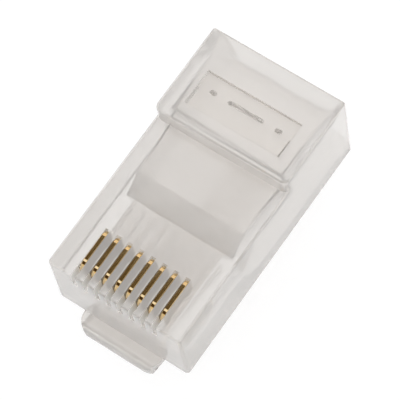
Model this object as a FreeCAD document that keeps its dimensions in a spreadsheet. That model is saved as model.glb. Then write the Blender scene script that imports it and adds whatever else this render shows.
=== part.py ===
import FreeCAD, Part
import math
import os
import re
import Sketcher

# Modular plug with eight positions and eight contacts, before crimping.
# X runs across the plug, +Y from the nose to the cable end, +Z to the contact side.
# Sketches measure heights from the face on the latch side. Every body's placement
# then lowers it by half the nose's height, which puts the origin at the centre of
# the nose face.

# Driving dimensions, in millimetres and degrees
SIZES = {
    # shell
    "body_width": 11.68,
    "body_length": 21.40,
    "front_height": 6.50,
    "rear_height": 8.05,
    "step_from_nose": 13.60,
    "shell_edge_radius": 0.20,
    "nose_corner_radius": 0.28,
    "step_corner_radius": 0.55,
    # jacket cavity, with its mouth and the funnel that leads the wires in
    "cavity_floor": 0.90,
    "cavity_front_ceiling": 5.20,
    "cavity_rear_roof": 1.30,
    "cavity_side_wall": 0.74,
    "cavity_step_wall": 0.90,
    "cavity_corner_radius": 0.30,
    "mouth_depth": 1.90,
    "mouth_rim": 0.40,
    "funnel_rear": 9.60,
    "funnel_front": 7.90,
    "funnel_side_taper": 0.35,
    "funnel_front_ceiling": 3.30,
    "funnel_front_floor": 2.00,
    # conductor channels
    "channel_radius": 0.46,
    "channel_axis_height": 2.45,
    "channel_roof": 3.20,
    "channel_front_wall": 0.90,
    # contacts and their slots
    "contact_count": 8,
    "contact_pitch": 1.016,
    "contact_thickness": 0.35,
    "contact_front": 0.95,
    "contact_length": 3.45,
    "contact_recess": 0.05,
    "contact_front_radius": 0.70,
    "contact_rear_radius": 0.55,
    "contact_edge_radius": 0.06,
    "contact_shank": 3.95,
    "tine_tip": 3.25,
    "tine_inset": 0.40,
    "tine_base": 0.95,
    "contact_clearance": 0.025,
    "front_slot_depth": 1.55,
    # strain relief bar in the raised part
    "relief_width": 8.30,
    "relief_length": 3.05,
    "relief_from_rear": 3.15,
    "relief_depth": 0.45,
    "relief_front_depth": 0.10,
    "wedge_drop": 0.60,
    "wedge_length": 1.55,
    "slit_from_relief_rear": 1.05,
    "slit_width": 0.40,
    "slit_middle_length": 3.12,
    "slit_dot_length": 0.60,
    "slit_dot_place": 2.88,
    "side_slit_width": 0.18,
    # latch
    "root_width": 7.05,
    "root_reach": 1.35,
    "root_corner_radius": 1.25,
    "root_behind_nose": 0.70,
    "root_above_face": 0.40,
    "root_side_taper": 0.42,
    "strap_thickness": 0.55,
    "hinge_inner_radius": 0.20,
    "hinge_gap": 0.02,
    "lever_angle": 7.0,
    "lever_end": 14.60,
    "shoulder_width": 6.10,
    "shoulder_from_nose": 8.30,
    "shoulder_thickness": 1.30,
    "waist_from_nose": 2.00,
    "tab_width": 3.25,
    "tab_thickness": 0.90,
    "tab_end_radius": 0.80,
    "lever_edge_radius": 0.15,
    # how far a cutting outline runs past the surface that it opens
    "overrun": 1.00,
}

# two places or volumes nearer than this count as the same
SAME = 1e-6

doc = FreeCAD.newDocument("modular_plug")
sheet = doc.addObject("Spreadsheet::Sheet", "dims")
for row, (alias, value) in enumerate(SIZES.items(), start=1):
    sheet.set(f"A{row}", alias)
    sheet.set(f"B{row}", str(value))
    sheet.setAlias(f"B{row}", alias)
doc.recompute()

# Places that several features share, as expressions of the sheet's values
CONTACT_REAR = "(contact_front + contact_length)"
CONTACT_TOP = "(front_height - contact_recess)"
CEILING_REAR = "(rear_height - cavity_rear_roof)"
CAVITY_STEP = "(step_from_nose + cavity_step_wall)"
CAVITY_HALF = "(body_width / 2 - cavity_side_wall)"
CHANNEL_HALF = "(contact_pitch * (contact_count - 1) / 2 + channel_radius)"
RELIEF_REAR = "(body_length - relief_from_rear)"
RELIEF_FRONT = "(body_length - relief_from_rear - relief_length)"
RELIEF_FLOOR = "(rear_height - relief_depth)"
SLIT_REAR = "(body_length - relief_from_rear - slit_from_relief_rear)"
SLIT_FRONT = "(body_length - relief_from_rear - slit_from_relief_rear - slit_width)"
WEDGE_FRONT = "(body_length - relief_from_rear - slit_from_relief_rear - slit_width - wedge_length)"
WEDGE_HALF = "(relief_width / 2 - side_slit_width)"
HINGE_RADIUS = "(hinge_inner_radius + strap_thickness)"
HINGE_Y = "(hinge_inner_radius + strap_thickness - root_reach)"


def bound(text):
    """The same expression, with every alias read from the sheet."""
    def from_sheet(word):
        return f"dims.{word[0]}" if word[0] in SIZES else word[0]

    return re.sub(r"[a-z][a-z_]+", from_sheet, text)


def value_of(text):
    """The present value of an expression of the sheet's aliases."""
    return float(sheet.evalExpression(text))


def lever_top(place):
    """Height of the lever's upper face at a distance from the nose."""
    return f"(-{HINGE_RADIUS} - hinge_inner_radius - ({place} - {HINGE_Y}) * tan(lever_angle))"


# ------------------------------------------------------------ sketches and features

# the numbers by which a sketch constraint names a curve's points and its own origin
START, END, CENTRE = 1, 2, 3
ORIGIN = (-1, 1)


def new_sketch(body, name, role, offset=None):
    """A sketch on one of the body's own origin planes, moved along its normal."""
    sketch = body.newObject("Sketcher::SketchObject", name)
    plane = next(item for item in body.Origin.OriginFeatures if item.Role == role)
    sketch.AttachmentSupport = [(plane, "")]
    sketch.MapMode = "FlatFace"
    if offset:
        sketch.setExpression("AttachmentOffset.Base.z", bound(offset))
    return sketch


def pin(sketch, kind, geometry, point, text):
    """Fixes one coordinate of a sketch point to an expression."""
    sketch.addConstraint(Sketcher.Constraint(kind, *ORIGIN, geometry, point, value_of(text)))
    sketch.setExpression(f"Constraints[{sketch.ConstraintCount - 1}]", bound(text))


def arc_edge(start, end, centre, turn):
    """An arc about centre, anticlockwise where turn is +1."""
    first, last = (start, end) if turn > 0 else (end, start)
    begin = math.atan2(first.y - centre.y, first.x - centre.x)
    finish = math.atan2(last.y - centre.y, last.x - centre.x)
    circle = Part.Circle(centre, FreeCAD.Vector(0, 0, 1), (start - centre).Length)
    return Part.ArcOfCircle(circle, begin, finish)


def add_outline(sketch, corners, arcs=None):
    """A closed outline through corners given as pairs of expressions.

    arcs holds, for a corner's index, the centre of the arc to the next corner and
    its turn. Each corner is pinned both ways, and each arc by one way of its centre.
    """
    arcs = arcs or {}
    points = [FreeCAD.Vector(value_of(x), value_of(y), 0) for x, y in corners]
    first = sketch.GeometryCount
    heads = []
    for index, start in enumerate(points):
        end = points[(index + 1) % len(points)]
        if index in arcs:
            cx, cy, turn = arcs[index]
            centre = FreeCAD.Vector(value_of(cx), value_of(cy), 0)
            sketch.addGeometry(arc_edge(start, end, centre, turn), False)
            heads.append((START, END) if turn > 0 else (END, START))
        else:
            sketch.addGeometry(Part.LineSegment(start, end), False)
            heads.append((START, END))
    for index, (x, y) in enumerate(corners):
        following = (index + 1) % len(points)
        here = first + index
        sketch.addConstraint(Sketcher.Constraint(
            "Coincident", here, heads[index][1], first + following, heads[following][0]))
        pin(sketch, "DistanceX", here, heads[index][0], x)
        pin(sketch, "DistanceY", here, heads[index][0], y)
        if index in arcs:
            chord = points[following] - points[index]
            if abs(chord.y) > abs(chord.x):
                pin(sketch, "DistanceX", here, CENTRE, arcs[index][0])
            else:
                pin(sketch, "DistanceY", here, CENTRE, arcs[index][1])


def rectangle(low_x, high_x, low_y, high_y):
    return [(low_x, low_y), (high_x, low_y), (high_x, high_y), (low_x, high_y)]


def rounded_rectangle(low_x, high_x, low_y, high_y, radius):
    """Corners and arcs of a rectangle whose four corners are rounded."""
    left, right = f"({low_x} + {radius})", f"({high_x} - {radius})"
    bottom, top = f"({low_y} + {radius})", f"({high_y} - {radius})"
    corners = [
        (left, low_y), (right, low_y),
        (high_x, bottom), (high_x, top),
        (right, high_y), (left, high_y),
        (low_x, top), (low_x, bottom),
    ]
    return corners, {1: (right, bottom, 1), 3: (right, top, 1), 5: (left, top, 1), 7: (left, bottom, 1)}


def round_slot(low_x, high_x, low_y, high_y):
    """Corners and arcs of a slot along X whose two ends are half circles."""
    radius = f"(({high_y}) - ({low_y})) / 2"
    middle = f"(({high_y}) + ({low_y})) / 2"
    left, right = f"({low_x} + {radius})", f"({high_x} - {radius})"
    corners = [(left, low_y), (right, low_y), (right, high_y), (left, high_y)]
    return corners, {1: (right, middle, 1), 3: (left, middle, 1)}


def extrude(body, kind, sketch, length, name, symmetric=False, reverse=False):
    """A pad or a pocket of one sketch."""
    feature = body.newObject(f"PartDesign::{kind}", name)
    feature.Profile = sketch
    feature.SideType = "Symmetric" if symmetric else "One side"
    feature.Reversed = reverse
    feature.setExpression("Length", bound(length))
    doc.recompute()
    return feature


def volume(body):
    doc.recompute()
    return body.Shape.Volume


def cut_checked(body, make):
    """Runs a cutting feature and stops if it took nothing away."""
    before = volume(body)
    feature = make()
    if volume(body) > before - SAME:
        raise RuntimeError(f"{feature.Name} cuts nothing")
    return feature


def fillet(body, base, choose, radius, name):
    """Rounds the edges of the last feature that choose picks out."""
    doc.recompute()
    names = [f"Edge{i}" for i, edge in enumerate(base.Shape.Edges, start=1) if choose(edge)]
    if not names:
        raise RuntimeError(f"{name} found no edge")
    feature = body.newObject("PartDesign::Fillet", name)
    feature.Base = (base, names)
    feature.setExpression("Radius", bound(radius))
    doc.recompute()
    return feature


def upright(edge):
    box = edge.BoundBox
    return box.XLength < SAME and box.YLength < SAME


def new_body(name):
    body = doc.addObject("PartDesign::Body", name)
    body.Label = name
    body.setExpression("Placement.Base.z", bound("-front_height / 2"))
    return body


# ------------------------------------------------------------ the housing

def corner_cutters():
    """The two plan corners of the latch root, outside its rounding."""
    edge, tip = "root_width / 2", "-root_reach"
    for side in ("", "-"):
        inner = f"{side}({edge} - root_corner_radius)"
        outer = f"{side}({edge})"
        past = f"{side}({edge} + overrun)"
        corners = [
            (outer, f"{tip} + root_corner_radius"),
            (inner, tip),
            (inner, f"{tip} - overrun"),
            (past, f"{tip} - overrun"),
            (past, f"{tip} + root_corner_radius"),
        ]
        yield corners, {0: (inner, f"{tip} + root_corner_radius", 1 if side else -1)}


def round_root_corners(body):
    """Rounds the front of the latch root as seen from the contact side."""
    sketch = new_sketch(body, f"{body.Name}_root_corners", "XY_Plane")
    for corners, arcs in corner_cutters():
        add_outline(sketch, corners, arcs)
    depth = f"2 * {HINGE_RADIUS} + overrun"
    name = f"{body.Name}_root_rounding"
    return cut_checked(body, lambda: extrude(body, "Pocket", sketch, depth, name))


def taper_root_sides(body):
    """Narrows the curl from the strap down to the lever, on both sides."""
    sketch = new_sketch(body, f"{body.Name}_root_sides", "XZ_Plane", "root_reach + overrun")
    for side in ("", "-"):
        wide = f"{side}(root_width / 2)"
        narrow = f"{side}(root_width / 2 - root_side_taper)"
        past = f"{side}(root_width / 2 + overrun)"
        add_outline(sketch, [
            (wide, "-strap_thickness"),
            (narrow, f"-2 * {HINGE_RADIUS}"),
            (narrow, f"-2 * {HINGE_RADIUS} - overrun"),
            (past, f"-2 * {HINGE_RADIUS} - overrun"),
            (past, "-strap_thickness"),
        ])
    length = "root_reach + overrun + waist_from_nose"
    name = f"{body.Name}_root_taper"
    return cut_checked(body, lambda: extrude(body, "Pocket", sketch, length, name))


def make_shell(body):
    """The outer block with its raised cable end, and its rounded edges."""
    sketch = new_sketch(body, "side_outline", "YZ_Plane")
    add_outline(sketch, [
        ("0", "0"),
        ("body_length", "0"),
        ("body_length", "rear_height"),
        ("step_from_nose", "rear_height"),
        ("step_from_nose", "front_height"),
        ("0", "front_height"),
    ])
    shell = extrude(body, "Pad", sketch, "body_width", "shell", symmetric=True)
    step = value_of("step_from_nose")
    foot = value_of("front_height")

    def nose_upright(edge):
        return upright(edge) and edge.BoundBox.YMax < SAME

    def step_upright(edge):
        return upright(edge) and abs(edge.BoundBox.YMax - step) < SAME

    def shell_rim(edge):
        box = edge.BoundBox
        step_foot = box.ZLength < SAME and abs(box.ZMax - foot) < SAME and box.YMin > step - SAME
        rounded_upright = upright(edge) and box.YMax < value_of("body_length") - SAME
        return not (step_foot or rounded_upright)

    rounded = fillet(body, shell, nose_upright, "nose_corner_radius", "nose_corners")
    rounded = fillet(body, rounded, step_upright, "step_corner_radius", "step_corners")
    fillet(body, rounded, shell_rim, "shell_edge_radius", "shell_edges")


def make_latch_root(body):
    """The tongue at the nose that curls down and back into the latch."""
    sketch = new_sketch(body, "root_outline", "YZ_Plane")
    centre = (HINGE_Y, f"-{HINGE_RADIUS}")
    add_outline(sketch, [
        ("root_behind_nose", "-strap_thickness"),
        ("root_behind_nose", "root_above_face"),
        ("0", "root_above_face"),
        ("0", "0"),
        (HINGE_Y, "0"),
        (HINGE_Y, f"-2 * {HINGE_RADIUS}"),
        (HINGE_Y, f"-{HINGE_RADIUS} - hinge_inner_radius"),
        (HINGE_Y, "-strap_thickness"),
    ], {4: (*centre, 1), 6: (*centre, -1)})
    extrude(body, "Pad", sketch, "root_width", "latch_root", symmetric=True)
    round_root_corners(body)
    taper_root_sides(body)


def cavity_section(body, name, place, half, low, high):
    """One upright rounded rectangle across the plug, at a distance from the nose."""
    sketch = new_sketch(body, name, "XZ_Plane", f"-{place}")
    add_outline(sketch, *rounded_rectangle(f"-{half}", half, low, high, "cavity_corner_radius"))
    return sketch


def cut_loft(body, sections, name):
    loft = body.newObject("PartDesign::SubtractiveLoft", name)
    loft.Profile = sections[0]
    loft.Sections = sections[1:]
    loft.Ruled = True
    doc.recompute()
    return loft


def cut_cavity(body):
    """The hollow for the cable's jacket, from its flared mouth to the funnel."""
    rim_half = "(body_width / 2 - mouth_rim)"
    rim_top = "rear_height - mouth_rim"
    mouth_root = "(body_length - mouth_depth)"
    funnel_half = f"({CAVITY_HALF} - funnel_side_taper)"
    low = "cavity_floor"
    ceiling = "cavity_front_ceiling"
    foot = ("funnel_front_floor", "funnel_front_ceiling")
    rear = [
        cavity_section(body, "mouth_edge", "body_length", rim_half, "mouth_rim", rim_top),
        cavity_section(body, "mouth_end", mouth_root, CAVITY_HALF, low, CEILING_REAR),
        cavity_section(body, "chamber_end", CAVITY_STEP, CAVITY_HALF, low, CEILING_REAR),
    ]
    front = [
        cavity_section(body, "front_chamber", CAVITY_STEP, CAVITY_HALF, low, ceiling),
        cavity_section(body, "ramp_top", "funnel_rear", funnel_half, low, ceiling),
        cavity_section(body, "ramp_foot", "funnel_front", funnel_half, *foot),
    ]
    cut_checked(body, lambda: cut_loft(body, rear, "rear_chamber"))
    cut_checked(body, lambda: cut_loft(body, front, "funnel"))


def cut_conductor_channels(body):
    """One flat slot with a round groove under each contact, blind at the nose."""
    sketch = new_sketch(body, "channel_comb", "XZ_Plane", "-channel_front_wall")
    corners = [(f"-{CHANNEL_HALF}", "channel_roof"), (f"-{CHANNEL_HALF}", "channel_axis_height")]
    arcs = {}
    count = int(value_of("contact_count"))
    for index in range(count):
        axis = f"(({index} - (contact_count - 1) / 2) * contact_pitch)"
        if index:
            corners.append((f"{axis} - channel_radius", "channel_axis_height"))
        arcs[len(corners) - 1] = (axis, "channel_axis_height", 1)
        corners.append((f"{axis} + channel_radius", "channel_axis_height"))
    corners.append((CHANNEL_HALF, "channel_roof"))
    add_outline(sketch, corners, arcs)
    length = "funnel_front - channel_front_wall"
    cut_checked(body, lambda: extrude(body, "Pocket", sketch, length, "wire_channels"))


def cut_contact_slots(body):
    """The slot of the first contact, open at the nose and the top, and its copies."""
    sketch = new_sketch(body, "slot_outline", "YZ_Plane", "-contact_pitch * (contact_count - 1) / 2")
    front = "contact_front - contact_clearance"
    rear = f"{CONTACT_REAR} + contact_clearance"
    shelf = "front_height - front_slot_depth"
    top = "front_height + overrun"
    add_outline(sketch, [
        ("-overrun", shelf),
        (front, shelf),
        (front, "channel_axis_height"),
        (rear, "channel_axis_height"),
        (rear, top),
        ("-overrun", top),
    ])
    width = "contact_thickness + 2 * contact_clearance"
    slot = cut_checked(body, lambda: extrude(body, "Pocket", sketch, width, "slot", symmetric=True))
    copies = body.newObject("PartDesign::LinearPattern", "contact_slots")
    copies.Originals = [slot]
    copies.Direction = (sketch, ["N_Axis"])
    copies.setExpression("Length", bound("contact_pitch * (contact_count - 1)"))
    copies.setExpression("Occurrences", bound("contact_count"))
    body.Tip = copies
    doc.recompute()


def make_strain_relief(body):
    """The bar that the crimping tool bends onto the jacket, held by thin webs."""
    wedge = new_sketch(body, "wedge_outline", "YZ_Plane")
    add_outline(wedge, [
        (WEDGE_FRONT, CEILING_REAR),
        (SLIT_FRONT, f"{CEILING_REAR} - wedge_drop"),
        (SLIT_FRONT, RELIEF_FLOOR),
        (WEDGE_FRONT, RELIEF_FLOOR),
    ])
    extrude(body, "Pad", wedge, f"2 * {WEDGE_HALF}", "wedge", symmetric=True)
    recess = new_sketch(body, "relief_outline", "YZ_Plane")
    add_outline(recess, [
        (RELIEF_FRONT, "rear_height - relief_front_depth"),
        (RELIEF_REAR, RELIEF_FLOOR),
        (RELIEF_REAR, "rear_height + overrun"),
        (RELIEF_FRONT, "rear_height + overrun"),
    ])
    cut_checked(body, lambda: extrude(body, "Pocket", recess, "relief_width", "recess", symmetric=True))
    slits = new_sketch(body, "slit_outlines", "XY_Plane", "rear_height")
    middle = "slit_middle_length / 2"
    add_outline(slits, *round_slot(f"-{middle}", middle, SLIT_FRONT, SLIT_REAR))
    near = "(slit_dot_place - slit_dot_length / 2)"
    far = "(slit_dot_place + slit_dot_length / 2)"
    edge = "relief_width / 2"
    for low, high in ((near, far), (f"-{far}", f"-{near}")):
        add_outline(slits, *round_slot(low, high, SLIT_FRONT, SLIT_REAR))
    for low, high in ((WEDGE_HALF, edge), (f"-{edge}", f"-{WEDGE_HALF}")):
        add_outline(slits, rectangle(low, high, WEDGE_FRONT, SLIT_FRONT))
    depth = "cavity_rear_roof + relief_depth"
    cut_checked(body, lambda: extrude(body, "Pocket", slits, depth, "relief_slits"))


def make_housing():
    body = new_body("housing")
    make_shell(body)
    make_latch_root(body)
    cut_cavity(body)
    make_strain_relief(body)
    cut_conductor_channels(body)
    cut_contact_slots(body)
    return body


# ------------------------------------------------------------ the latch

def make_latch_lever():
    """The lever under the plug, from the end of the curl to the finger tab."""
    body = new_body("latch_lever")
    sketch = new_sketch(body, "lever_outline", "YZ_Plane")
    start = f"({HINGE_Y} + hinge_gap)"
    add_outline(sketch, [
        (start, f"-2 * {HINGE_RADIUS}"),
        ("shoulder_from_nose", f"{lever_top('shoulder_from_nose')} - shoulder_thickness"),
        ("shoulder_from_nose", f"{lever_top('shoulder_from_nose')} - tab_thickness"),
        ("lever_end", f"{lever_top('lever_end')} - tab_thickness"),
        ("lever_end", lever_top("lever_end")),
        (start, f"-{HINGE_RADIUS} - hinge_inner_radius"),
    ])
    extrude(body, "Pad", sketch, "root_width", "lever", symmetric=True)
    round_root_corners(body)
    taper_root_sides(body)
    plan = new_sketch(body, "lever_sides", "XY_Plane")
    for side in ("", "-"):
        root = f"{side}(root_width / 2)"
        past = f"{side}(root_width / 2 + overrun)"
        shoulder = f"{side}(shoulder_width / 2)"
        tab = f"{side}(tab_width / 2)"
        tab_corner = f"{side}(tab_width / 2 - tab_end_radius)"
        tab_bend = "(lever_end - tab_end_radius)"
        add_outline(plan, [
            (past, "0"),
            (root, "0"),
            (shoulder, "waist_from_nose"),
            (shoulder, "shoulder_from_nose"),
            (tab, "shoulder_from_nose"),
            (tab, tab_bend),
            (tab_corner, "lever_end"),
            (tab_corner, "lever_end + overrun"),
            (past, "lever_end + overrun"),
        ], {5: (tab_corner, tab_bend, -1 if side else 1)})
    depth = f"-({lever_top('lever_end')}) + shoulder_thickness + overrun"
    lever = cut_checked(body, lambda: extrude(body, "Pocket", plan, depth, "lever_plan"))
    waist = value_of("waist_from_nose")
    shoulder = value_of("shoulder_from_nose")

    def outer_edge(edge):
        """Behind the waist, and not where the tab leaves the shoulders."""
        box = edge.BoundBox
        inside = max(abs(box.XMin), abs(box.XMax)) < value_of("shoulder_width / 2") - SAME
        at_the_step = box.YMax < shoulder + SAME and inside
        return box.YMin > waist - SAME and box.YMax > waist + SAME and not (
            at_the_step or (upright(edge) and inside))

    fillet(body, lever, outer_edge, "lever_edge_radius", "lever_edges")
    return body


# ------------------------------------------------------------ the contacts

def make_contact(index):
    """One stamped blade: rounded top corners and two tines that pierce a wire."""
    body = new_body(f"contact_{index + 1}")
    place = f"({index} - (contact_count - 1) / 2) * contact_pitch"
    body.setExpression("Placement.Base.x", bound(place))
    sketch = new_sketch(body, f"blade_outline_{index + 1}", "YZ_Plane")
    front_corner = ("(contact_front + contact_front_radius)", f"({CONTACT_TOP} - contact_front_radius)")
    rear_corner = (f"({CONTACT_REAR} - contact_rear_radius)", f"({CONTACT_TOP} - contact_rear_radius)")
    add_outline(sketch, [
        ("contact_front", front_corner[1]),
        ("contact_front", "contact_shank"),
        ("contact_front + tine_inset", "tine_tip"),
        ("contact_front + tine_base", "contact_shank"),
        (f"{CONTACT_REAR} - tine_base", "contact_shank"),
        (f"{CONTACT_REAR} - tine_inset", "tine_tip"),
        (CONTACT_REAR, "contact_shank"),
        (CONTACT_REAR, rear_corner[1]),
        (rear_corner[0], CONTACT_TOP),
        (front_corner[0], CONTACT_TOP),
    ], {7: (*rear_corner, 1), 9: (*front_corner, 1)})
    name = f"blade_{index + 1}"
    blade = extrude(body, "Pad", sketch, "contact_thickness", name, symmetric=True)
    bend = value_of("front_height - contact_recess - contact_front_radius")
    half = value_of("contact_thickness / 2")

    def top_rim(edge):
        box = edge.BoundBox
        along_a_flank = box.XLength < SAME and abs(abs(box.XMin) - half) < SAME
        return along_a_flank and box.ZMin > bend - SAME

    fillet(body, blade, top_rim, "contact_edge_radius", f"edge_rounding_{index + 1}")
    return body


pieces = [make_housing(), make_latch_lever()]
pieces += [make_contact(index) for index in range(int(value_of("contact_count")))]
doc.recompute()

for item in doc.Objects:
    if "Invalid" in item.State or "Error" in item.State:
        raise RuntimeError(f"{item.Name} failed: {item.State}")
for piece in pieces:
    if piece.Shape.isNull() or not piece.Shape.isValid():
        raise RuntimeError(f"{piece.Label} has no valid shape")

os.makedirs("parts", exist_ok=True)
for piece in pieces:
    piece.Shape.exportStep(os.path.join("parts", f"{piece.Label}.step"))
    box = piece.Shape.BoundBox
    print(f"{piece.Label}: {piece.Shape.Volume:.3f} mm3, {len(piece.Shape.Solids)} solid, "
          f"{box.XLength:.2f} x {box.YLength:.2f} x {box.ZLength:.2f} mm")
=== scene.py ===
# %% [markdown]
# # A clear modular plug
# This is the plug that ends a network cable, before it is crimped. It is one clear
# moulding with a springy lever under it, and eight gilt blades stand in slots at its nose.
#
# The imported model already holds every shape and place, so no new part is drawn here. The
# lesson joins the moulding into one mesh, gives each wall the finish that its mould gave
# it, and builds the studio that clear plastic and gilt need around them. Lengths are
# metres, +Y runs from the nose to the cable end, and +Z points to the side with the blades.

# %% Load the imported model
import math
import bmesh
import bpy
from mathutils import Matrix, Vector
from mathutils.bvhtree import BVHTree


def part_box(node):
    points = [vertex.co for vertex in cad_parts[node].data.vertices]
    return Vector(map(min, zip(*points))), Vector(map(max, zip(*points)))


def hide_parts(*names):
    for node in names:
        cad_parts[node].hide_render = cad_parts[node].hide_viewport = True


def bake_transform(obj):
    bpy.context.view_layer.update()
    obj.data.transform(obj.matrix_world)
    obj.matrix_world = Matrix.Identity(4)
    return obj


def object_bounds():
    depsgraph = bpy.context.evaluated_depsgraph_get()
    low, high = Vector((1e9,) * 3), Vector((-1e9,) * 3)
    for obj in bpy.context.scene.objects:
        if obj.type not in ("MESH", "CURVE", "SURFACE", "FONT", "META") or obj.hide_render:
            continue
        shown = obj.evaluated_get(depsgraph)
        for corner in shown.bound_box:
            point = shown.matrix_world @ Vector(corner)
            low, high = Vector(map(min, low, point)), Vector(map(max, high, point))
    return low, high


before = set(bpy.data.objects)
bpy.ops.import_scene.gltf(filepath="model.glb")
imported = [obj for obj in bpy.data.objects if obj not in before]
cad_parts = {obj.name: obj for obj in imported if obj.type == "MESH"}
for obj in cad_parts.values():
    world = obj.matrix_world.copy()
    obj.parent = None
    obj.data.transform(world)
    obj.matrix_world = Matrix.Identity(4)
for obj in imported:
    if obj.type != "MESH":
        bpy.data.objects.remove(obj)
cad_low, cad_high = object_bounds()
MM = 0.001
scene = bpy.context.scene
print("nodes:", ", ".join(sorted(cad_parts)))

# %% [markdown]
# ## The camera
# A plug is hardly longer than a fingertip, so it is seen from many times its own length
# away, and its edges look nearly parallel. An orthographic camera would draw them quite
# parallel. A long lens, nine lengths away, keeps the little perspective that is left. It
# looks down from in front of the nose's right corner, and it is rolled, which lays the
# plug on a diagonal.

# %% The camera
VIEW_AZIMUTH = 47.40
VIEW_ELEVATION = 65.71
VIEW_ROLL = math.radians(-13.70)
VIEW_DISTANCE = 208.0 * MM
VIEW_TARGET = Vector((0, 10.5, 0.25)) * MM
VIEW_SHIFT = (-0.0012, 0.0121)
LONG_LENS = 255.55


def add_object(name, data):
    """Links new data to the scene as an object of its own."""
    obj = bpy.data.objects.new(name, data)
    scene.collection.objects.link(obj)
    return obj


def direction(azimuth, elevation):
    """The unit vector towards a place in the studio, from its two angles in degrees.

    Azimuth 0 is in front of the nose, and 90 is at the plug's +X side.
    """
    turn, rise = math.radians(azimuth), math.radians(elevation)
    return Vector((
        math.cos(rise) * math.sin(turn),
        -math.cos(rise) * math.cos(turn),
        math.sin(rise),
    ))


def add_camera():
    """Adds the scene's camera, which looks back at the plug from its place."""
    data = bpy.data.cameras.new("camera")
    data.lens = LONG_LENS
    data.shift_x, data.shift_y = VIEW_SHIFT
    camera = add_object("camera", data)
    back = direction(VIEW_AZIMUTH, VIEW_ELEVATION)
    turn = back.to_track_quat("Z", "Y").to_matrix() @ Matrix.Rotation(VIEW_ROLL, 3, "Z")
    place = Matrix.Translation(VIEW_TARGET + back * VIEW_DISTANCE)
    camera.matrix_world = place @ turn.to_4x4()
    scene.camera = camera
    return camera


print("camera at", [round(x / MM, 1) for x in add_camera().location], "mm")

# %% [markdown]
# ## Helpers for node trees
# Every finish here is a tree of shader nodes. Such a tree can be drawn by hand in the node
# editor, or copied from a library. Written as code, each finish reads as a list of its
# parts. One helper clears a tree, and the others add a node and fill its inputs with plain
# values or with links. The plain Standard view then shows a colour as it is written.

# %% Helpers for node trees


def tree_of(data):
    """The empty node tree of a material or a world."""
    data.use_nodes = True
    data.node_tree.nodes.clear()
    return data.node_tree


def fill(tree, socket, value):
    """Links an input to another node's socket, or sets it to a plain value."""
    if isinstance(value, bpy.types.NodeSocket):
        tree.links.new(value, socket)
    else:
        socket.default_value = value


def add_node(tree, kind, inputs=None, **fields):
    """A node with its fields set and its inputs filled."""
    node = tree.nodes.new(kind)
    for name, value in fields.items():
        setattr(node, name, value)
    for name, value in (inputs or {}).items():
        fill(tree, node.inputs[name], value)
    return node


def arithmetic(tree, operation, first, second=0):
    """One step of arithmetic. Where it needs one number only, the second is unused."""
    return add_node(
        tree, "ShaderNodeMath", {0: first, 1: second}, operation=operation).outputs[0]


def blend(tree, kind, share, first, second):
    """The first value or colour where the share is 0, and the second where it is 1."""
    node = add_node(tree, "ShaderNodeMix", data_type=kind)
    in_use = [socket for socket in node.inputs if socket.enabled]
    for socket, value in zip(in_use, (share, first, second)):
        fill(tree, socket, value)
    return next(socket for socket in node.outputs if socket.enabled)


def ramp_between(tree, value, start, end, low=0.0, high=1.0):
    """A soft step from one level to the other as a value goes from start to end."""
    step = add_node(tree, "ShaderNodeMapRange", {
        "Value": value, "From Min": start, "From Max": end, "To Min": low, "To Max": high,
    }, interpolation_type="SMOOTHSTEP")
    return step.outputs[0]


def grey(level):
    """A grey of one level, as a colour."""
    return (level, level, level, 1)


scene.view_settings.view_transform = "Standard"
print("view transform:", scene.view_settings.view_transform)

# %% [markdown]
# ## The floor
# The plug lies on a plain white sheet. A brighter lamp could turn the sheet pure white,
# but it would bleach the plug as well. So the sheet is plain paint for the light that it
# throws back at the plug. For the eye most of that paint turns into an even glow: it then
# reads as pure white, and the plug's faint shadow stays on the paint that is left. From
# below the sheet is open, so that the latch can be looked at.

# %% The floor
FLOOR_REACH = 2.0
FLOOR_GAP = 0.02 * MM
FLOOR_PAINT = 0.92
FLOOR_PAINT_SEEN = 0.25
FLOOR_GLOW_SEEN = 0.80
SQUARE_CORNERS = ((-1, -1), (1, -1), (1, 1), (-1, 1))


def seen_by_eye(tree):
    """1 for rays from the eye, straight or by way of gloss and glass, and 0 for others."""
    path = add_node(tree, "ShaderNodeLightPath")
    straight_or_gloss = arithmetic(
        tree, "MAXIMUM", path.outputs["Is Camera Ray"], path.outputs["Is Glossy Ray"])
    return arithmetic(tree, "MAXIMUM", straight_or_gloss, path.outputs["Is Transmission Ray"])


def floor_material():
    """White paint, which glows for the eye and is open from below."""
    material = bpy.data.materials.new("floor_white")
    tree = tree_of(material)
    paint = add_node(tree, "ShaderNodeBsdfDiffuse", {"Color": grey(FLOOR_PAINT)})
    paint_seen = add_node(tree, "ShaderNodeBsdfDiffuse", {"Color": grey(FLOOR_PAINT_SEEN)})
    glow = add_node(
        tree, "ShaderNodeEmission", {"Color": grey(1), "Strength": FLOOR_GLOW_SEEN})
    bright = add_node(
        tree, "ShaderNodeAddShader", {0: paint_seen.outputs[0], 1: glow.outputs[0]})
    top = add_node(tree, "ShaderNodeMixShader", {
        0: seen_by_eye(tree), 1: paint.outputs[0], 2: bright.outputs[0]})
    side = add_node(tree, "ShaderNodeNewGeometry")
    nothing = add_node(tree, "ShaderNodeBsdfTransparent")
    both = add_node(tree, "ShaderNodeMixShader", {
        0: side.outputs["Backfacing"], 1: top.outputs[0], 2: nothing.outputs[0]})
    add_node(tree, "ShaderNodeOutputMaterial", {"Surface": both.outputs[0]})
    return material


def add_floor():
    """A wide square just below the lowest piece of the plug."""
    mesh = bpy.data.meshes.new("floor")
    height = cad_low[2] - FLOOR_GAP
    corners = [(x * FLOOR_REACH, y * FLOOR_REACH, height) for x, y in SQUARE_CORNERS]
    mesh.from_pydata(corners, [], [range(len(corners))])
    mesh.materials.append(floor_material())
    floor = add_object("floor", mesh)
    return floor


print("floor at", round(add_floor().data.vertices[0].co.z / MM, 2), "mm")

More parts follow.
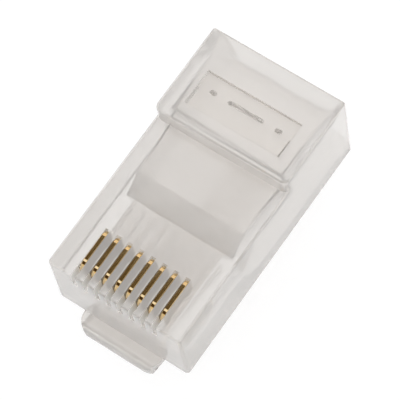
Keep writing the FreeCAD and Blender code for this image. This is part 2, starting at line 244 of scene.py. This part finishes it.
# %% [markdown]
# ## The studio
# Clear plastic shows what is behind it, and gilt shows what is in front of it, so the
# studio is half of both finishes. Lamps and cards could stand around the plug as objects,
# but in some view one of them would be in the way. Here they are painted into the world,
# each by its direction.
#
# The room is evenly white. A wide softbox at the plug's right lights one flank more than
# the other faces, so that the corner between them can be read.

# %% The white room and its softbox
ROOM_LEVEL = 0.89
SOFTBOX_TOWARD = direction(62, 5)
SOFTBOX_EXTRA = 0.32
# how nearly a ray goes towards the softbox where its light begins, and where it is full
SOFTBOX_REACH = (0.1, 1.0)


def aimed_at(tree, toward, place):
    """How nearly a ray goes towards a place: 1 straight at it, and 0 square to that."""
    aim = add_node(tree, "ShaderNodeVectorMath", {0: toward, 1: place}, operation="DOT_PRODUCT")
    return aim.outputs["Value"]


def light_room(tree, toward):
    """The room as it lights the plug: even, and brighter towards the softbox."""
    near = ramp_between(tree, aimed_at(tree, toward, SOFTBOX_TOWARD), *SOFTBOX_REACH)
    return blend(tree, "RGBA", near, grey(ROOM_LEVEL), grey(ROOM_LEVEL + SOFTBOX_EXTRA))


print("room level", ROOM_LEVEL, "and", round(ROOM_LEVEL + SOFTBOX_EXTRA, 2), "at the softbox")

# %% [markdown]
# ## The strips that gilt mirrors
# In an even room the blades would be a flat yellow, for metal looks like metal where dark
# stands beside bright. A studio hangs black cards for that, and here they are strips of
# the world, as the softbox is a part of it. The narrow dark one is mirrored in the blades'
# flat tops, and the wide dark one where they curve down at the front. Two dimmed ones take
# the glare off the ends of the front curve and of the rear one. Only gloss mirrors them,
# so they hardly dim the plastic.
#
# Each strip covers a range of Y and of X in the direction that a ray leaves by. Where a
# blade's surface runs straight along Y, all that it mirrors has one value of Y, however
# its edges are rounded. So a strip darkens the whole width of a blade at once.

# %% The strips
STRIP_SOFTNESS = 0.02
STRIPS = {
    # lowest and highest Y, lowest and highest X, colour
    "behind_the_blades": ((0.40, 1.10), (-0.98, 0.98), (0.80, 0.70, 0.58, 1)),
    "over_the_blades": ((0.17, 0.27), (-0.97, 0.30), (0.085, 0.058, 0.022, 1)),
    "over_the_nose": ((-0.76, -0.22), (-0.92, 0.25), (0.06, 0.035, 0.012, 1)),
    "ahead_of_the_nose": ((-1.10, -0.76), (-0.92, 0.25), (0.78, 0.68, 0.52, 1)),
}


def within(tree, value, limits):
    """1 inside a range, and 0 outside it, with soft ends."""
    low, high = limits
    after_start = ramp_between(tree, value, low - STRIP_SOFTNESS, low + STRIP_SOFTNESS)
    before_end = ramp_between(tree, value, high + STRIP_SOFTNESS, high - STRIP_SOFTNESS)
    return arithmetic(tree, "MULTIPLY", after_start, before_end)


def hang_strip(tree, toward, room, y_limits, x_limits, colour):
    """The room with one strip in it, above the horizon."""
    axes = add_node(tree, "ShaderNodeSeparateXYZ", {0: toward}).outputs
    inside = arithmetic(
        tree, "MULTIPLY", within(tree, axes["Y"], y_limits), within(tree, axes["X"], x_limits))
    above = arithmetic(
        tree, "MULTIPLY", inside, ramp_between(tree, axes["Z"], 0, STRIP_SOFTNESS))
    return blend(tree, "RGBA", above, room, colour)


print("strips:", ", ".join(STRIPS))

# %% [markdown]
# ## The world
# Three kinds of ray ask the world for its colour. Gloss gets the even room with its
# strips, and all other light gets the room with its softbox. Past the floor's edge the eye
# sees plain white, whatever lights the plug.

# %% The world


def add_studio():
    """The world that answers each kind of ray."""
    world = bpy.data.worlds.new("studio")
    scene.world = world
    tree = tree_of(world)
    toward = add_node(tree, "ShaderNodeTexCoord").outputs["Generated"]
    path = add_node(tree, "ShaderNodeLightPath").outputs
    mirrored = grey(ROOM_LEVEL)
    for strip in STRIPS.values():
        mirrored = hang_strip(tree, toward, mirrored, *strip)
    colour = blend(tree, "RGBA", path["Is Glossy Ray"], light_room(tree, toward), mirrored)
    room = add_node(tree, "ShaderNodeBackground", {"Color": colour})
    backdrop = add_node(tree, "ShaderNodeBackground", {"Color": grey(1)})
    answer = add_node(tree, "ShaderNodeMixShader", {
        0: path["Is Camera Ray"], 1: room.outputs[0], 2: backdrop.outputs[0]})
    add_node(tree, "ShaderNodeOutputWorld", {"Surface": answer.outputs[0]})
    return world


print("world:", add_studio().name)

# %% [markdown]
# ## Effects that finishes share
# No moulded or stamped surface is quite even. Its faults could be painted on an image for
# each piece. Made from noise they need no image and no unwrapping, and never repeat. Two
# such effects are node groups: each is built once, and each material that it is placed in
# sets its own strength.

# %% Helpers for node groups


def new_group(name, inputs, outputs):
    """A shader node group with float inputs and typed outputs, and its inputs' sockets."""
    group = bpy.data.node_groups.new(name, "ShaderNodeTree")
    for label in inputs:
        group.interface.new_socket(label, in_out="INPUT", socket_type="NodeSocketFloat")
    for label, kind in outputs.items():
        group.interface.new_socket(label, in_out="OUTPUT", socket_type=f"NodeSocket{kind}")
    given = group.nodes.new("NodeGroupInput")
    return group, given.outputs


def use_group(tree, group, inputs):
    """The first output of a group that is placed in a tree with its own values."""
    return add_node(tree, "ShaderNodeGroup", inputs, node_tree=group).outputs[0]


def noise(tree, size, stretch=(1, 1, 1), detail=2.0):
    """Noise whose blotches are about `size` wide, drawn out along an axis if asked."""
    place = add_node(tree, "ShaderNodeTexCoord").outputs["Object"]
    scaled = add_node(tree, "ShaderNodeMapping", {
        "Vector": place, "Scale": [1 / (size * factor) for factor in stretch]})
    return add_node(tree, "ShaderNodeTexNoise", {
        "Vector": scaled.outputs[0], "Scale": 1.0, "Detail": detail}).outputs[0]


print("helpers: new_group, use_group, noise")

# %% [markdown]
# ## Swell and grain
# Plastic shrinks a little as it sets, which leaves slow waves in a wall, and a spark
# eroded mould leaves a fine grain. Displacing the mesh would need millions of faces for
# some thousandths of a millimetre. A bump only tilts the light, and at this depth nobody
# can tell the difference.

# %% The surface group
SWELL_WIDTH = 1.6 * MM
GRAIN_WIDTH = 0.09 * MM
GRAIN_DETAIL = 3
# a depth of 1 in either input is a thousandth of a millimetre
DEPTH_UNIT = 0.001 * MM


def surface_group():
    """The normal of a surface with a slow swell and a fine grain of given depths."""
    group, given = new_group("surface", ("Swell", "Grain"), {"Normal": "Vector"})
    waves = noise(group, SWELL_WIDTH)
    swell = arithmetic(group, "MULTIPLY", waves, given["Swell"])
    specks = noise(group, GRAIN_WIDTH, detail=GRAIN_DETAIL)
    grain = arithmetic(group, "MULTIPLY", specks, given["Grain"])
    height = arithmetic(group, "ADD", swell, grain)
    bump = add_node(group, "ShaderNodeBump", {
        "Strength": 1.0, "Distance": DEPTH_UNIT, "Height": height})
    add_node(group, "NodeGroupOutput", {"Normal": bump.outputs[0]})
    return group


SURFACE = surface_group()
print("group:", SURFACE.name)

# %% [markdown]
# ## Handling
# Plugs are sold loose in bags, where they rub against one another. Single scratches could
# be drawn as geometry or as lines on an image. Noise that is stretched far along one axis
# gives streaks, and where a streak is strongest it roughens the polish.

# %% The handling group
SCUFF_WIDTH = 0.08 * MM
SCUFF_ALONG = (1, 30, 6)
SCUFF_ACROSS = (22, 1, 5)
# how strong a streak is where a scuff begins, and where it is full
SCUFF_EDGE = (0.68, 0.80)


def handling_group():
    """A roughness with faint scuffs: long thin streaks that lie across one another."""
    group, given = new_group("handling", ("Roughness", "Scuffing"), {"Roughness": "Float"})
    along = noise(group, SCUFF_WIDTH, stretch=SCUFF_ALONG, detail=1)
    across = noise(group, SCUFF_WIDTH, stretch=SCUFF_ACROSS, detail=1)
    streaks = arithmetic(group, "MAXIMUM", along, across)
    marks = ramp_between(group, streaks, *SCUFF_EDGE)
    scuffs = arithmetic(group, "MULTIPLY", marks, given["Scuffing"])
    total = arithmetic(group, "ADD", given["Roughness"], scuffs)
    add_node(group, "NodeGroupOutput", {"Roughness": total})
    return group


HANDLING = handling_group()
print("group:", HANDLING.name)

# %% [markdown]
# ## The clear plastic
# The housing is polycarbonate, and every wall copies the steel that formed it:
#
# - Outside, the mould is polished.
# - The cores of the cavity and of the wire channels are spark eroded, so those walls are
#   satin. That haze is what makes such a plug look milky.
# - The ramp that gathers the wires has the coarsest core, which roughens it. Its darker
#   grey colour is painted shade, which makes it read as a band.
# - The thin steel that forms the slots is ground, and leaves their open front ends white.
# - Beside a blade the slot's walls are pressed tight against metal. They neither bend nor
#   mirror light there, so the blade's side shows through the plastic.
#
# Pure glass would look like a prism, and a white plastic would hide the inside. So one
# recipe is part clear and part white, and each finish sets its own share. The room's light
# also has to get in and out through the walls. Tracing that as caustics is slow and noisy.
# Letting shadow rays pass the plastic with a faint loss gives much the same brightness.

# %% The clear plastic
PLASTIC_IOR = 1.585
NO_BENDING = 1.0
LIGHT_THROUGH_PLASTIC = (0.98, 0.975, 0.97, 1)
# clearness is the share that passes light, and the rest is white; swell and grain are
# depths in thousandths of a millimetre
PLASTICS = {
    "polished": {
        "colour": (0.892, 0.869, 0.847, 1), "clearness": 0.60, "roughness": 0.08,
        "scuffing": 0.05, "swell": 16.0, "grain": 0.0, "bending": PLASTIC_IOR,
    },
    "ground": {
        "colour": (0.97, 0.96, 0.94, 1), "clearness": 0.35, "roughness": 0.30,
        "scuffing": 0.0, "swell": 2.0, "grain": 0.0, "bending": PLASTIC_IOR,
    },
    "tight": {
        "colour": (0.97, 0.93, 0.86, 1), "clearness": 0.85, "roughness": 0.0,
        "scuffing": 0.0, "swell": 0.0, "grain": 0.0, "bending": NO_BENDING,
    },
    "satin": {
        "colour": (0.895, 0.870, 0.846, 1), "clearness": 0.70, "roughness": 0.25,
        "scuffing": 0.0, "swell": 14.0, "grain": 3.0, "bending": PLASTIC_IOR,
    },
    # the ramp: rough from its core, and its darker colour is painted shade
    "eroded_and_shaded": {
        "colour": (0.62, 0.59, 0.56, 1), "clearness": 0.60, "roughness": 0.35,
        "scuffing": 0.0, "swell": 3.0, "grain": 3.0, "bending": PLASTIC_IOR,
    },
}


def clear_material(finish, colour, clearness, roughness, scuffing, swell, grain, bending):
    """One finish of the plastic."""
    material = bpy.data.materials.new(f"{finish}_polycarbonate")
    tree = tree_of(material)
    shader = add_node(tree, "ShaderNodeBsdfPrincipled", {
        "Base Color": colour,
        "Roughness": use_group(tree, HANDLING, {"Roughness": roughness, "Scuffing": scuffing}),
        "IOR": bending,
        "Transmission Weight": clearness,
        "Normal": use_group(tree, SURFACE, {"Swell": swell, "Grain": grain}),
    })
    path = add_node(tree, "ShaderNodeLightPath")
    straight_on = add_node(
        tree, "ShaderNodeBsdfTransparent", {"Color": LIGHT_THROUGH_PLASTIC})
    either = add_node(tree, "ShaderNodeMixShader", {
        0: path.outputs["Is Shadow Ray"], 1: shader.outputs[0], 2: straight_on.outputs[0]})
    add_node(tree, "ShaderNodeOutputMaterial", {"Surface": either.outputs[0]})
    return material


plastic = {finish: clear_material(finish, **values) for finish, values in PLASTICS.items()}
print("plastics:", ", ".join(plastic))

# %% [markdown]
# ## The gilt
# A blade is stamped from rolled bronze strip. Gold is plated over its crown, where the
# jack's wires touch, and round the crown's edges. The sheared sides stay bronze, and their
# colour is painted darker still, as painted shade for the tight slot that they stand in.
# Two materials on picked faces would part at a hard line. One material that asks which way
# the surface faces lets the gold thin out round the edge, as plating does. Fine lines from
# the rolling run along the crown.

# %% The gilt
GOLD = (1.00, 0.77, 0.44, 1)
GOLD_ROUGHNESS = 0.06
# painted shade: the sheared sides are darker than bare bronze, for the shade in the slots
SHEARED_BRONZE_AND_SHADE = (0.19, 0.13, 0.06, 1)
SHEARED_ROUGHNESS = 0.38
# how squarely a face looks sideways where the gold begins to thin out, and where it ends
PLATING_EDGE = (0.94, 0.99)
ROLLING_LINE = 0.03 * MM
ROLLING_STRETCH = (1, 40, 8)
ROLLING_NOISE = (0.3, 0.7)
SMOOTHEST, ROUGHEST = 0.6 * GOLD_ROUGHNESS, 1.4 * GOLD_ROUGHNESS
GILT_GRAIN = 0.5


def gilt_material():
    """Gold that gives way on the sheared sides to bronze, darkened there as painted shade."""
    material = bpy.data.materials.new("gilt_blade")
    tree = tree_of(material)
    facing = add_node(tree, "ShaderNodeTexCoord").outputs["Normal"]
    axes = add_node(tree, "ShaderNodeSeparateXYZ", {0: facing}).outputs
    sheared_and_shaded = ramp_between(tree, arithmetic(tree, "ABSOLUTE", axes["X"]), *PLATING_EDGE)
    lines = noise(tree, ROLLING_LINE, stretch=ROLLING_STRETCH)
    rolled = ramp_between(tree, lines, *ROLLING_NOISE, SMOOTHEST, ROUGHEST)
    shader = add_node(tree, "ShaderNodeBsdfPrincipled", {
        "Base Color": blend(tree, "RGBA", sheared_and_shaded, GOLD, SHEARED_BRONZE_AND_SHADE),
        "Roughness": blend(tree, "FLOAT", sheared_and_shaded, rolled, SHEARED_ROUGHNESS),
        "Metallic": 1.0,
        "Normal": use_group(tree, SURFACE, {"Swell": 0.0, "Grain": GILT_GRAIN}),
    })
    add_node(tree, "ShaderNodeOutputMaterial", {"Surface": shader.outputs[0]})
    return material


GILT = gilt_material()
print("gilt:", GILT.name)

# %% [markdown]
# ## One moulding
# The real housing and latch are one piece of plastic, and the thin curl under the nose is
# their hinge. The model cuts the latch off at the end of its curl, so that it can turn.
# Two pieces end to end would show that cut as a line inside the clear plastic. So
# both meshes go into one shape, the two flat ends at the cut are taken away, and a short
# wall bridges the gap between their rims. What comes out is closed.

# %% Join the latch to the housing
WELD = 0.0001 * MM
HINGE_GAP = 0.03 * MM
CURL_LEVEL = -3.8 * MM
# how squarely a face looks along Y when it is one of the two flat ends
SQUARE_ON = 0.99


def both_pieces():
    """The housing and the lever in one shape, with split corners joined."""
    shape = bmesh.new()
    for node in ("housing", "latch_lever"):
        shape.from_mesh(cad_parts[node].data)
    bmesh.ops.remove_doubles(shape, verts=shape.verts, dist=WELD)
    return shape


def closes_the_curl(face, lever_start):
    """True for the two flat ends that face each other across the hinge's gap."""
    middle = face.calc_center_median()
    flat = abs(face.normal.y) > SQUARE_ON
    return flat and middle.z < CURL_LEVEL and abs(middle.y - lever_start) < HINGE_GAP


def bridge_the_curl(shape):
    """Takes the two ends away and walls the gap between their rims."""
    lever_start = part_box("latch_lever")[0][1]
    shape.normal_update()
    ends = [face for face in shape.faces if closes_the_curl(face, lever_start)]
    bmesh.ops.delete(shape, geom=ends, context="FACES")
    rims = [edge for edge in shape.edges if edge.is_boundary]
    bmesh.ops.bridge_loops(shape, edges=rims)
    bmesh.ops.recalc_face_normals(shape, faces=shape.faces)
    return len(rims)


shape = both_pieces()
print("bridged rims of", bridge_the_curl(shape), "edges in all")

# %% [markdown]
# ## Plain walls
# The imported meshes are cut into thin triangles, which spoil both the shading and the sort
# that comes next. A remesh would blur the slots. Dissolving the edges between faces that
# lie in one plane gives each flat wall back as one face and moves nothing. Where the
# blades begin, the walls are cut across once more, for the plastic beside a blade looks
# unlike the plastic ahead of it.

# %% Make the walls plain
FLAT = math.radians(0.5)
BLADES_START = 0.95 * MM


def make_walls_plain(shape):
    """Joins the triangles of each flat wall."""
    bmesh.ops.dissolve_limit(shape, angle_limit=FLAT, verts=shape.verts, edges=shape.edges)


def cut_where_blades_begin(shape):
    """Cuts every wall that crosses one plane along it, without a change of form."""
    everything = [*shape.verts, *shape.edges, *shape.faces]
    bmesh.ops.bisect_plane(
        shape, geom=everything, plane_co=(0, BLADES_START, 0), plane_no=(0, 1, 0))


def make_moulding(shape):
    """The finished shape as an object."""
    mesh = bpy.data.meshes.new("clear_moulding")
    shape.to_mesh(mesh)
    return add_object("clear_moulding", mesh)


make_walls_plain(shape)
cut_where_blades_begin(shape)
moulding = make_moulding(shape)
print("faces", len(shape.faces), "open edges", sum(not edge.is_manifold for edge in shape.edges))
shape.free()

# %% [markdown]
# ## Rounded shading
# The edges of a moulding are rounded, for plastic doesn't fill a sharp corner. Flat
# shading would show each fillet as facets, and smooth shading would bend the light on the
# flat walls too. Weighted normals let the large flat faces lead, so that only the fillets
# look round. They are stored in the mesh, with its real corners kept as creases.

# %% Round the shading
CREASE = math.radians(32)
LARGE_FACES_LEAD = 100


def round_shading(obj):
    """Smooth fillets beside flat faces that stay flat, with sharp creases kept."""
    obj.data.polygons.foreach_set("use_smooth", [True] * len(obj.data.polygons))
    obj.data.set_sharp_from_angle(angle=CREASE)
    weigh = obj.modifiers.new("flat faces lead", "WEIGHTED_NORMAL")
    weigh.keep_sharp = True
    weigh.weight = LARGE_FACES_LEAD
    evaluated = obj.evaluated_get(bpy.context.evaluated_depsgraph_get())
    obj.data = bpy.data.meshes.new_from_object(evaluated)
    obj.modifiers.clear()


round_shading(moulding)
print("edges kept sharp:", sum(edge.use_edge_sharp for edge in moulding.data.edges))

# %% [markdown]
# ## Which steel formed which wall
# Faces could be picked by number, but a changed size would shuffle the numbers. So each
# wall is told by where it is and how it lies. A face that looks straight out into the room
# was formed by the polished mould. All others count as formed by a core, even the few
# outer ones that face the lever. Among them, the slots are near the nose and above the
# wire channels, and the ramp is the slope that faces back and down.

# %% Tell the walls apart
CLEAR_OF_THE_WALL = 0.01 * MM
SLOTS_END = 4.5 * MM
SLOTS_FOOT = 0.0
RAMP_END = 11.0 * MM
RAMP_TILT = 0.4


def faces_the_room(obj):
    """Which faces see the room: a ray from the face's middle meets no more plastic."""
    faces = obj.data.polygons
    walls = BVHTree.FromPolygons(
        [vertex.co for vertex in obj.data.vertices], [face.vertices for face in faces])
    starts = [face.center + face.normal * CLEAR_OF_THE_WALL for face in faces]
    return [walls.ray_cast(start, face.normal)[0] is None for start, face in zip(starts, faces)]


def is_slot(face):
    """True for the thin slots that the blades stand in."""
    return face.center.y < SLOTS_END and face.center.z > SLOTS_FOOT


def is_ramp(face):
    """True for the slope that leads the wires down from the cavity to their channels."""
    faces_back_and_down = face.normal.y > RAMP_TILT and face.normal.z < -RAMP_TILT
    return faces_back_and_down and face.center.y < RAMP_END


def finish_of(face, sees_the_room):
    """The name of the finish that a wall's steel gave it; the ramp's also holds painted shade.
    """
    if sees_the_room:
        return "polished"
    if is_slot(face):
        return "tight" if face.center.y > BLADES_START else "ground"
    return "eroded_and_shaded" if is_ramp(face) else "satin"


wall_finishes = [
    finish_of(face, sees_the_room)
    for face, sees_the_room in zip(moulding.data.polygons, faces_the_room(moulding))
]
print({finish: wall_finishes.count(finish) for finish in PLASTICS})

# %% [markdown]
# ## The moulding takes its place
# Each wall gets its material. The one mesh then shows in place of both imported pieces,
# which are hidden.


def finish_walls(obj, finishes):
    """Gives each face the material of its finish."""
    for material in plastic.values():
        obj.data.materials.append(material)
    order = list(plastic)
    for face, finish in zip(obj.data.polygons, finishes):
        face.material_index = order.index(finish)


finish_walls(moulding, wall_finishes)
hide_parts("housing", "latch_lever")
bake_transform(moulding)

# %% [markdown]
# ## The blades
# Eight blades stand in the slots until the crimping tool drives them into the wires. They
# could be drawn again here with more detail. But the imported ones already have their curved
# ends and rounded edges, and metal needs no more than that, so they only take the gilt.

# %% The blades
blades = [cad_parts[f"contact_{number}"] for number in range(1, 9)]
for blade in blades:
    blade.data.materials.clear()
    blade.data.materials.append(GILT)
print("blades:", len(blades))
